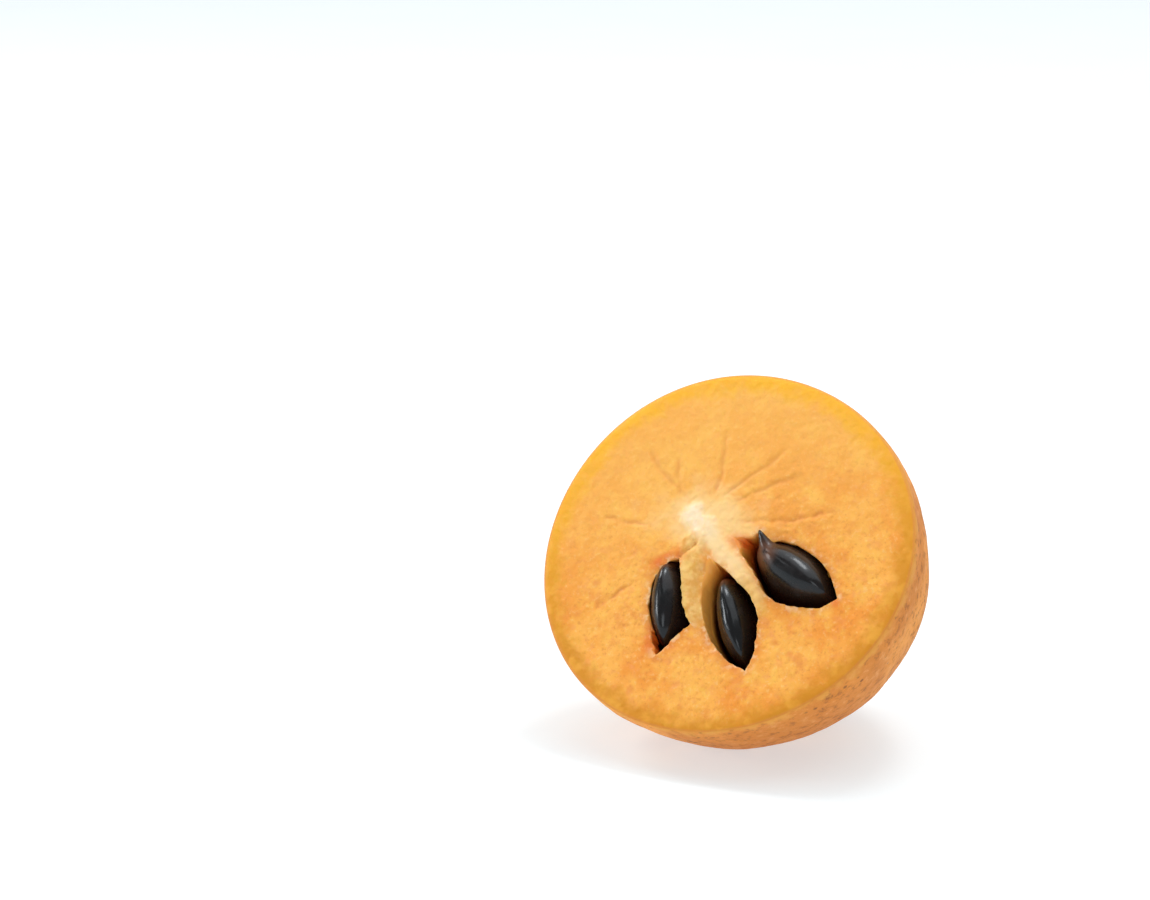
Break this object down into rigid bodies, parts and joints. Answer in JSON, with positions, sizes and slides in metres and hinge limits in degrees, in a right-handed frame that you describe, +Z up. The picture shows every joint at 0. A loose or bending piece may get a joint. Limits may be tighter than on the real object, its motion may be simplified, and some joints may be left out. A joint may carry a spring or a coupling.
{
  "type": "halved sapodilla",
  "caption": "Half of a sapodilla cut across, lying on its skin with the cut face tipped up, with loose black seeds standing in pockets round its core.",
  "frame": {"origin": "middle of the small flat spot on the skin that the fruit rests on", "axes": "+Z up; the cut face looks towards -Y and upwards; +X is to the right of someone who faces the cut"},
  "size_m": [0.0589, 0.0504, 0.0535],
  "materials": {
    "flesh_and_skin": "satin",
    "seed_coat": "gloss"
  },
  "bodies": {
    "root": {"half_fruit": "flesh_and_skin", "seed_left": "seed_coat", "seed_middle": "seed_coat", "seed_right": "seed_coat"}
  },
  "joints": []
}
